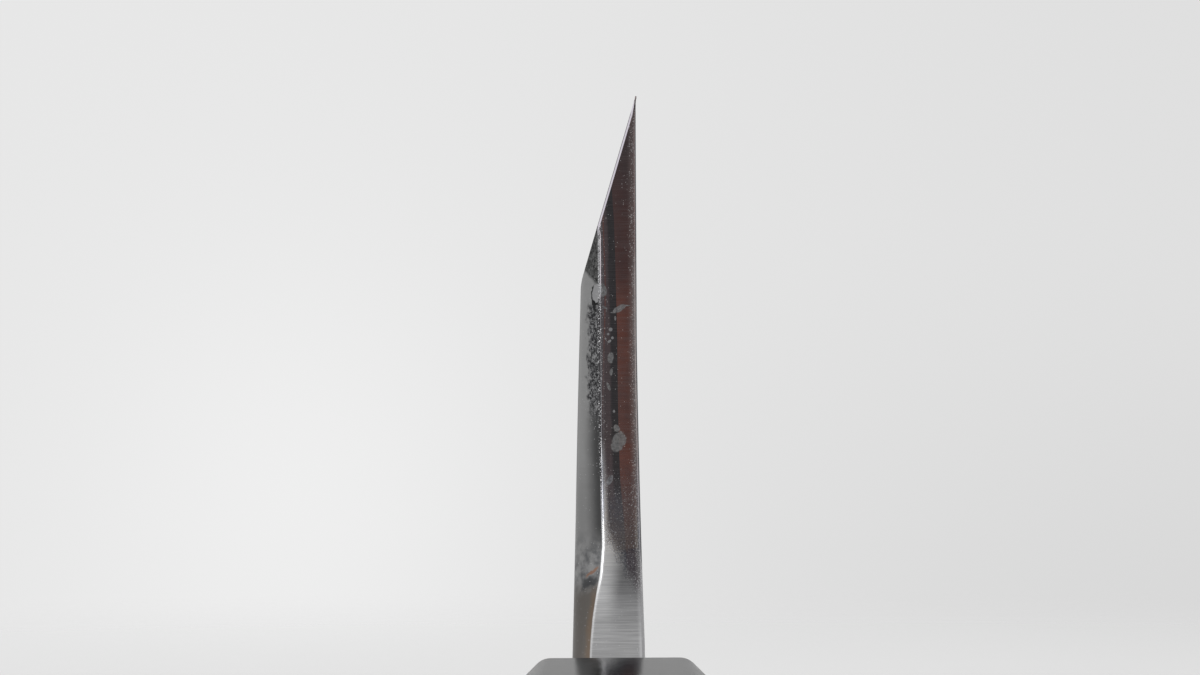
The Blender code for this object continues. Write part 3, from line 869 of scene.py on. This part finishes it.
def drops(f, x, z, table):
    """Ragged films, from a table of (x, z, half width, half height, lean)."""
    ragged = (f.noise(2.6, 3) - 0.5) * 0.9
    film = 0
    for at_x, at_z, wide, high, lean in table:
        up = z - at_z
        far = (((x - at_x - up * lean) / wide) ** 2 + (up / high) ** 2) ** 0.5
        film = (far + ragged)[1.12:0.88].most(film)
    return film


def grains(f, per_mm, share):
    """Grains of dust: this share of the cells of a Voronoi texture hold one."""
    push = f.noise(per_mm * 2.5, 2, out="Color")
    ragged = f.vector_maths("MULTIPLY_ADD", push, (0.25 / per_mm,) * 3, f.vector)
    sockets = {"Vector": ragged, "Scale": per_mm}
    far = f.node("TexVoronoi", (), sockets, "Distance")
    chance = f.split(Signal(f, far.socket.node.outputs["Color"]))[0]
    return far[0.46:0.22] * (chance + share)[1:1.03]


def brushed(f, by, seed=0, coarse=0.35):
    """Long scratches: a noise drawn out along one way, in lines of two finenesses."""
    shifted = f.vector_maths("ADD", f.vector, (seed,) * 3)
    fine = f.noise(by, 3, 0.6, vector=shifted)
    broad = f.noise(tuple(b * 0.23 for b in by), 2, 0.5, vector=shifted)
    return fine * (1 - coarse) + broad * coarse


print(len(DROPS + SPECKS), "dried drops")

# %% The look of the heel, shared by both metals
def steely(value, blue=0.005):
    """A grey with a little more blue."""
    return value, value, value + blue


GREY, PURPLE, BLACK = (0.23, 0.21, 0.225), (0.15, 0.118, 0.125), (0.066, 0.063, 0.067)
RUST, BROWN, DARK_BROWN = (0.26, 0.12, 0.105), (0.26, 0.11, 0.088), (0.155, 0.086, 0.082)
DULL_BROWN, VIOLET, BARE = (0.21, 0.118, 0.105), (0.115, 0.12, 0.15), (0.74, 0.7, 0.77)
SATIN, DIM_SATIN, SHADED, DUST = steely(0.6), steely(0.34), steely(0.1), steely(0.52, 0.01)


def polish(f, x, z, ridge, weld, back, cloud):
    """The share that drops cover, and the polished bands of iron and steel, colder low down.
    Their dark tones are partly a painted reflection of the dark room; the steel's brown is a
    painted reflection.
    """
    wavy = (cloud - 0.5) * 0.3
    line = (x + 0.515 + abs(z - 49.4) * 0.03).band(0, 0.018, 0.05)
    # Painted reflection, in part: the iron's dark tones stand partly for the dark room it mirrors.
    iron = f.coats(
        GREY,
        ((ridge + wavy)[0.1:0.45], PURPLE),
        (line * z[33:36] * (0.35 + z[44:47] * 0.5), RUST),
        ((weld + wavy)[-0.62:-0.4], BLACK),
    )
    by_back = (back + wavy * 0.5)[1:1.5] * (0.9 - z[46:52] * 0.35)
    # Painted reflection: the steel's browns stand for something brown that the polish mirrors.
    steel = f.coats(
        DARK_BROWN,
        (z[51.5:47.5], BROWN),
        (z[53.5:60], (0.115, 0.086, 0.088)),
        (z.band(41, 1.2, 2.6) * 0.3, (0.16, 0.12, 0.12)),
        (z[38:34], DULL_BROWN),
        (by_back, (0.36, 0.28, 0.27)),
        ((back + wavy * 0.3)[1.36:1.54] * z[53:50] * 0.7, (0.5, 0.45, 0.44)),
    )
    high = z + cloud * 2
    on_violet = 0.9 - weld[0:0.1] * 0.45 - back[1.05:1.5] * 0.4
    rubbed = f.noise((0.5, 1, 12), 2, 0.5)
    dried = f.mix(f.noise(5, 4, 0.7)[0.3:0.7], (0.15, 0.152, 0.16), (0.34, 0.345, 0.355))
    wet = drops(f, x, z, DROPS)
    return wet, f.coats(
        iron,
        (weld[-0.008:0.008], steel),
        (high[37:34.4] * on_violet, VIOLET),
        (high[34.4:32.2] * weld[-0.1:0.1] * 0.65, (0.1, 0.098, 0.12)),
        (cloud[0.35:0.7] * 0.3, (0.1, 0.09, 0.095)),
        (rubbed[0.35:0.75] * 0.17, (0.34, 0.31, 0.32)),
        (wet * 0.9, dried),
        (drops(f, x, z, SPECKS) * 0.85, steely(0.5, 0.015)),
    )


def heel_look(f, x, z, ridge, weld):
    """The heel's colour and roughness, the share of satin round the choil, and its brush marks."""
    cloud, grit = f.noise(1.3, 4, 0.6), f.noise(8, 3, 0.75)
    across = brushed(f, (0.35, 12, 12), coarse=0.15)
    wavy = (cloud - 0.5) * 0.3
    back = x - ((SHOULDER_TOP - z) / SHOULDER_HEIGHT).most(0) ** SHOULDER_BEND * SHOULDER
    border = back[1.05:1.5]
    low_dust = z[37.5:34.5]
    wet, polished = polish(f, x, z, ridge, weld, back, cloud)
    polished = f.mix(grit[0.48:0.68] * low_dust * 0.5, polished, steely(0.3, 0.02))

    lines = across[0.25:0.75]
    # Painted light on the satin: painted shade where it mirrors the dark room and towards the
    # right, a painted glow beside the ridge, and painted shade low down.
    in_shade = (x + wavy * 2)[-0.75:0.7] * z[24.3:28] * z[31.5:28.5] * 0.55
    satin = f.coats(
        DIM_SATIN,
        (lines, SATIN),
        (in_shade, SHADED),
        (x[-0.9:0.4] * 0.12, SHADED),
        (ridge[1.7:0.1] * z[25.3:29.8] * 0.95, f.mix(lines, steely(0.8, 0.01), 1)),
        (z[28:22.5] * 0.715, 0.15),
    )
    lower = 31 - x * 1.7 + (cloud - 0.5) * 2.2 + (grit - 0.5) * 3.5 - z
    lower = lower[-1:1]

    # The ridge's light is painted into the colour: a painted dark band beside it, a painted sheen
    # above it, a painted glint where it turns, and painted rungs of light and dark along its top.
    crest = ridge.band(-0.02, 0.07, 0.06)
    top_crest = crest * z[48.4:49.4]
    dim = ridge.band(0.05, 0.12, 0.06) * z[34:36] * z[49.5:48.5]
    painted_sheen = ridge[0.55:0.05] * ridge[0.05:0.15] * z[31.8:33]
    painted_sheen = painted_sheen * (z[39:37] * 0.45 + z[36.5:34] * 0.5)
    glint = crest.most(ridge.band(0.03, 0.13, 0.07) * z.band(30.6, 1.8, 1.6)) * z[36.5:33]
    glint = glint * (z[27:29.2] * 0.8 + 0.15) * (1 - z[32.2:33.4] * 0.45)
    ladder = f.noise((0.6, 1, 5), 3, 0.6)[0.35:0.65]
    colour = f.coats(
        polished,
        (lower, satin),
        ((back + wavy * 0.3)[1.2:1.5] * z[34:31.5] * 0.5, steely(0.5, 0.01)),
        (dim, (0.075, 0.072, 0.076)),
        (painted_sheen, steely(0.9, 0.02)),
        (top_crest, f.mix(ladder, steely(0.12), steely(0.4, 0.01))),
        (glint, steely(0.97, 0.01)),
    )
    cold = z[39:35] * z[29.5:32.5] * (1 - glint)
    colour = f.mix(cold, colour, (0.955, 0.985, 1.05), "MULTIPLY")

    on_ridge = ridge.band(-0.03, 0.06, 0.12) * z[33.5:36]
    share = 0.05 + border * 0.6 + on_ridge * (0.3 - z.band(41.5, 2.5, 2) * 0.14)
    share = share + ridge[0.7:0.1] * (0.24 + low_dust * 0.24) + low_dust * 0.14
    share = share * (1 - lower * 0.8)
    dust = grains(f, 11, share).most(grains(f, 7, share * 0.45 - 0.02))
    covered = dust * (0.6 + on_ridge.most(border * low_dust) * 0.4)
    colour = f.mix(covered, colour, f.mix(on_ridge, DUST, steely(0.85, 0.01)))
    rough = 0.13 + lower * 0.17 + wet * 0.2 + dust * 0.3 + top_crest * 0.2
    return colour, rough, lower, across


print("the heel's look is shared by both metals")

# %% The look of the facet
def facet_look(f, x, z, ridge, lengthwise):
    """Beside the heel: satin at the outside; along the ridge, stains under a painted dark
    reflection;
    above the neck, a brown that is painted reflection with a little stain.
    """
    cloud, clumps = f.noise(0.9, 4, 0.6), f.noise(2.4, 2, 0.5)
    soot_and_shade = f.noise((7, 7, 4.5), 6, 0.8, 0.3)
    away = -ridge
    wavy, bent = (cloud - 0.5) * 0.5, cloud * 0.9 - 0.45

    outer = f.coats(0.24, (lengthwise, 0.31), (z[38:34] * 0.3, 0.13))
    # Painted reflection: darker towards the ridge, where the facet mirrors the dark room.
    inner = f.mix((away + wavy * 0.4)[0.15:1.3], steely(0.06, 0.001), outer)
    # The mottled spots are partly stain and partly painted dark reflection.
    spots = f.mix(soot_and_shade[0.37:0.54], steely(0.27), steely(0.028, 0.002))
    spots = f.mix(clumps[0.6:0.7] * 0.7, spots, steely(0.32))
    band = (away + (clumps - 0.5))[0.96:0.62] * z[38.8:40.2] * z[48.6:48]
    # Painted reflection: the facet's top is dark where it mirrors the dark room.
    wedge = (z - away * 1.25 + wavy)[49.35:49.75]
    upper = f.mix(z[41.5:39.5], f.mix(band, outer, spots), inner)

    haze = f.noise(1.4, 5, 0.6)[0.32:0.66]
    # Painted reflection with a little rust-brown stain: the brown, its streak and the dark patch.
    brown = f.mix((away + wavy)[0.15:0.6], (0.145, 0.112, 0.087), (0.122, 0.112, 0.103))
    streak = (z + away * 0.73 + bent).band(29.55, 0.06, 0.12) * away.band(0.62, 0.3, 0.2)
    patch = (away + bent).band(0.78, 0.34, 0.3) * (z + away * 0.3 + bent).band(28.55, 0.22, 0.3)
    blot = (((x + 1.15) / 0.32) ** 2 + ((z - 49.1) / 0.66) ** 2) ** 0.5
    blot = blot + (f.noise(3, 3) - 0.5)
    return f.coats(
        upper,
        (wedge, f.mix(soot_and_shade[0.34:0.6], (0.17, 0.172, 0.17), 0.03)),
        ((z + wavy)[32.5:29.8], f.mix(haze, (0.12, 0.122, 0.126), 0.27)),
        ((z + wavy)[28.8:27], brown),
        (streak * 0.8, (0.25, 0.135, 0.088)),
        (patch * 0.8, (0.05, 0.052, 0.056)),
        (drops(f, x, z, SMUDGE), steely(0.03, 0.001)),
        (blot.band(1.12, 0.1, 0.08) * (x + z * 0.3)[13.7:13.4], 0.02),
        (blot[1.05:0.95], steely(0.29)),
        (grains(f, 11, 0.04 + band * 0.12) * 0.6, DUST),
    )


def eased_edge(f, inward, face_x):
    """The bright line on the heel's outer edge, with painted shade beyond it: its share and its
    colour.
    """
    share = inward[0.16:0.15] * (-face_x).band(0.7, 0.12, 0.1)
    # Painted shade: past the bright line the edge turns dark.
    return share, f.mix(inward[0.115:0.15], BARE, steely(0.06))


print("the facet and the eased edge have looks of their own")

# %% The iron body
def iron_finish(thing):
    f = dress(thing, "satin_iron", (0.5, 0.5, 0.5))
    (x, y, z), (face_x, face_y, face_z) = f.split(f.vector), f.facing()
    edge, ridge, weld, inward = f.read("edge", "ridge", "weld", "heel")
    cloud, grit = f.noise(0.35, 4), f.noise(14, 3, 0.7)
    along_blade = brushed(f, (0.4, 0.035, 5))
    side = abs(face_x)[0.8:0.93] * inward[0.1:0.3]
    ground = side * edge[BEVEL + 0.25 : BEVEL - 0.25] * y[1:3]

    fog = f.noise((2.2, 1.1, 2.2), 6, 0.7)
    haze = f.mix((fog * 0.6 + along_blade * 0.5)[0.3:0.8], steely(0.33), 0.47)
    body = f.coats(
        f.mix(along_blade, 0.36, (0.6, 0.6, 0.59)),
        (ground, haze),
        (cloud[0.45:0.75] * 0.15, 0.3),
        # Painted shade: the sides darken towards the heel.
        ((inward + cloud * 3)[9:2.5] * 0.55 * side, 0.25),
    )
    heel, heel_rough, lower, across = heel_look(f, x, z, ridge, weld)
    facet = facet_look(f, x, z, ridge, along_blade)
    facet = f.mix(inward[1.5:1.9] * z[33:37] * 0.55, facet, 0.08)
    towards = -face_y
    at_heel = towards[0.25:0.4].most(face_z * y[0.5:-0.5]) * z[14:16]
    turned = towards[0.01:0.12].most(abs(face_x)[0.9985:0.992] * z[48:47])
    on_facet = ridge[-0.02:-0.09] * y[-9:-5] * face_x[0:-0.1]
    on_facet = on_facet * turned * inward[2.6:2.3]
    on_edge, line = eased_edge(f, inward, face_x)
    colour = f.coats(body, (at_heel, heel), (on_facet, facet), (on_edge * z[53:54.2], line))
    rough = 0.3 + along_blade * 0.12 + ground * 0.14 + on_facet * 0.06
    rough = rough + (heel_rough - rough) * at_heel * (1 - on_facet)
    height = along_blade * side + across * lower * at_heel + grit * 0.12
    f.shade(colour, rough, Metallic=1, Normal=f.bump(height, 0.25, 0.012))


iron_finish(blade_body)
print("iron:", len(blade_body.active_material.node_tree.nodes), "nodes")

# %% The hard steel
def steel_finish(thing):
    f = dress(thing, "polished_steel", (0.62, 0.61, 0.6))
    (x, y, z), (face_x, face_y, _) = f.split(f.vector), f.facing()
    edge, spine, ridge, weld, inward = f.read("edge", "spine", "ridge", "weld", "heel")
    lengthwise = brushed(f, (0.4, 0.03, 6), 7)
    ground_across = brushed(f, (0.4, 3.5, 0.05), 3)
    hollow = face_x[0.7:0.95] * edge[EDGE_RIM - 0.1 : EDGE_RIM + 0.25]
    hollow = hollow * spine[SPINE_RIM - 0.1 : SPINE_RIM + 0.3] * y[3.2:5]
    heel, heel_rough, *_ = heel_look(f, x, z, ridge, weld)
    towards = -face_y
    at_heel = towards[0.25:0.4]
    colour = f.coats(
        f.mix(lengthwise, 0.5, (0.7, 0.695, 0.685)),
        (hollow, f.mix(ground_across, 0.42, (0.6, 0.6, 0.595))),
        (at_heel, heel),
        # Painted shade on the round between the heel and the back.
        (towards[0.05:0.2] * face_x[0.6:0.78], steely(0.1)),
        eased_edge(f, inward, face_x),
    )
    rough = 0.17 + lengthwise * 0.08 + hollow * 0.12
    rough = rough + (heel_rough - rough) * at_heel
    height = lengthwise * (1 - hollow) + ground_across * hollow
    f.shade(colour, rough, Metallic=1, Normal=f.bump(height, 0.2, 0.008))


steel_finish(edge_steel)
print("steel:", len(edge_steel.active_material.node_tree.nodes), "nodes")

# %% [markdown]
# ## Horn, wood and resin
#
# Buffalo horn is black with faint paler flames along its length and takes a deep polish. Ho wood
# is pale and straight grained, with fine dark pores, and its butt shows end grain. The ferrule is
# buffed across, on a wheel: its faces lean a hair towards the butt, and mirror the heel as streaks.

# %% Horn, wood, resin
HORN_LEAN = 0.14  # the slope that buffing gave the faces of the ferrule
TREE_X, TREE_Z = -19, -46  # the heart of the tree, round which the wood's rings run


def horn_finish(thing):
    f = dress(thing, "buffed_horn", (0.03, 0.028, 0.027))
    flames = f.noise((0.55, 0.06, 0.55), 5, 0.6, 1.4)
    fine = f.noise((6, 0.4, 6), 3, 0.6)
    buffed = f.noise((0.3, 8, 0.3), 2, 0.5)
    colour = f.coats(
        (0.008, 0.0078, 0.0078),
        (flames[0.55:0.8] * 0.6, (0.03, 0.026, 0.023)),
        (fine[0.55:0.8] * 0.2, (0.03, 0.028, 0.026)),
    )
    normal = f.bump(f.split(f.vector)[1] * HORN_LEAN + buffed * 0.016, 1, 1)
    f.shade(colour, 0.06 + fine * 0.03, Specular_IOR_Level=0.22, Normal=normal)


def wood_finish(thing):
    f = dress(thing, "planed_ho_wood", (0.62, 0.47, 0.29))
    x, _, z = f.split(f.vector)
    across = ((x - TREE_X) ** 2 + (z - TREE_Z) ** 2) ** 0.5
    across = across + f.noise((0.07, 0.005, 0.07), 3, 0.5) * 9
    rings = (across * 2.3).sine() * 0.5 + 0.5
    grain = rings**3 * (0.45 + f.noise((0.2, 0.01, 0.2), 2)[0.35:0.65] * 0.55)
    fibre = f.noise((5, 0.12, 5), 4, 0.65)
    pores = f.noise((9, 0.35, 9), 2, 0.5)[0.62:0.74]
    colour = f.coats(
        (0.7, 0.58, 0.42),
        (grain * 0.5, (0.59, 0.47, 0.32)),
        (fibre[0.3:0.75] * 0.55, (0.44, 0.33, 0.21)),
        (pores * 0.6, (0.24, 0.17, 0.1)),
    )
    f.shade(colour, 0.52 + fibre * 0.12, Normal=f.bump(fibre * 0.6 - pores, 0.3, 0.03))


def dowel_finish(thing):
    f = dress(thing, "dowel_grain", (0.45, 0.3, 0.17))
    grain = f.noise((2.4, 0.08, 2.4), 4, 0.6)
    colour = f.mix(grain, (0.5, 0.33, 0.18), (0.33, 0.2, 0.1))
    f.shade(colour, 0.6, Normal=f.bump(grain, 0.3, 0.05))


def resin_finish(thing, name, dark, light, rough):
    f = dress(thing, name, dark)
    painted_sheen = f.noise(1.6, 4, 0.6, 0.8)
    f.shade(f.mix(painted_sheen, dark, light), rough + painted_sheen * 0.15, Normal=f.bump(painted_sheen, 0.4, 0.06))


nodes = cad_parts
horn_finish(horn_ferrule)
wood_finish(wooden_grip)
dowel_finish(nodes["handle_dowel"])
resin_finish(resin_seal, "seal_resin", (0.045, 0.032, 0.02), (0.1, 0.07, 0.04), 0.3)
resin_finish(nodes["tang_bed"], "bed_resin", (0.38, 0.2, 0.06), (0.52, 0.32, 0.12), 0.25)
print("finishes:", ", ".join(sorted(m.name for m in bpy.data.materials if m.users)))

# %% [markdown]
# ## Floor, light and camera
#
# The photograph has no floor in it, only a pale ground with a soft glow low on the left. A pale
# floor catches the knife's shadow close by and fades out into the world, whose colour for the
# camera is that ground. Behind the camera the room is dark, which is what the polished heel shows.

# %% The floor
FLOOR_RADIUS = 1.5
FLOOR_Z = -0.0002
FADE_FROM, FADE_TO = 0.21, 0.45  # how far out the floor turns into the world


def make_floor():
    form = bmesh.new()
    bmesh.ops.create_circle(form, cap_ends=True, segments=96, radius=FLOOR_RADIUS)
    floor = show("floor", as_mesh(form, "floor"))
    floor.location.z = FLOOR_Z
    f = dress(floor, "pale_floor", (0.8, 0.8, 0.8))
    away = f.vector_maths("LENGTH", f.node("TexCoord", out="Object"), out="Value")
    f.shade(0.78, 0.9)
    shader = Signal(f, f.tree.nodes["Principled BSDF"].outputs[0])
    clear = f.node("BsdfTransparent")
    sockets = {0: away[FADE_FROM:FADE_TO], 1: shader, 2: clear}
    faded = f.node("MixShader", (), sockets)
    f.tree.links.new(faded.socket, f.tree.nodes["Material Output"].inputs["Surface"])


make_floor()
print("floor of radius", FLOOR_RADIUS, "m")

# %% The world
GLOW_X, GLOW_Z = -0.0696, -0.036  # the middle of the glow, as slopes from the camera
GLOW_WIDE, GLOW_HIGH, GLOW = 0.04, 0.044, 0.062


def make_world():
    """The ground that the camera sees, with its glow, and the dark room that the heel mirrors."""
    world = bpy.data.worlds.new("studio")
    bpy.context.scene.world = world
    f = Finish(world)
    x, y, z = f.split(f.node("TexCoord", out="Generated"))
    behind, not_below = -y, z[-0.7:-0.3]
    room = 0.74 + z.most(0) * 0.1 - behind[0.66:0.95] * z[0.3:0.06] * not_below * 0.38
    dark = behind[0.5:0.8] * z[0.52:0.34] * not_below
    rays = f.node("LightPath").socket.node.outputs
    camera_ray, glossy_ray, glass_ray = (Signal(f, rays[f"Is {kind} Ray"])
                                         for kind in ("Camera", "Glossy", "Transmission"))
    right, down = x / y.most(0.2), z / y.most(0.2)
    ground = 0.8 - right[-0.1:0.16] * (0.058 + down[0.03:-0.08] * 0.055)
    glow = ((right - GLOW_X) / GLOW_WIDE) ** 2 + ((down - GLOW_Z) / GLOW_HIGH) ** 2
    ground = ground + (glow * -0.5).exponential() * GLOW - dark * glossy_ray * 0.42
    lit, seen = (f.node("Background", (), {"Color": 1, "Strength": strength})
                 for strength in (room, ground))
    mirrored = camera_ray.most(glossy_ray).most(glass_ray)
    both = f.node("MixShader", (), {0: mirrored, 1: lit, 2: seen})
    f.tree.links.new(both.socket, f.tree.nodes["World Output"].inputs["Surface"])


def softbox(name, place, target, size, watts):
    light = bpy.data.lights.new(name, "AREA")
    light.shape, light.size, light.size_y, light.energy = "RECTANGLE", *size, watts
    lamp = show(name, light)
    lamp.location = place
    lamp.rotation_euler = (Vector(target) - Vector(place)).to_track_quat("-Z", "Y").to_euler()


make_world()
softbox("softbox_above", (-0.35, -0.05, 1.05), (0, 0.02, 0), (1.5, 1.5), 3.5)
softbox("softbox_behind_left", (-0.5, -0.8, 0.16), (0, 0, 0.04), (0.24, 0.42), 1.1)
print("two softboxes and a world")

# %% The camera, as far behind the heel as the photographer's
LENS, SENSOR = 125, 36
CAMERA_AT = (-0.926, -300, 45.96)
ROLL = radians(0.3)
camera = show("camera", bpy.data.cameras.new("camera"))
camera.data.lens, camera.data.sensor_width = LENS, SENSOR
camera.data.clip_start, camera.data.clip_end = 0.01, 50
camera.location = (CAMERA_AT[0] * MM, HEEL_Y + CAMERA_AT[1] * MM, CAMERA_AT[2] * MM)
camera.rotation_euler = (radians(90), ROLL, 0)
bpy.context.scene.camera = camera
bpy.context.scene.view_settings.view_transform = "Standard"
print("camera at", [round(c, 4) for c in camera.location])

# %% [markdown]
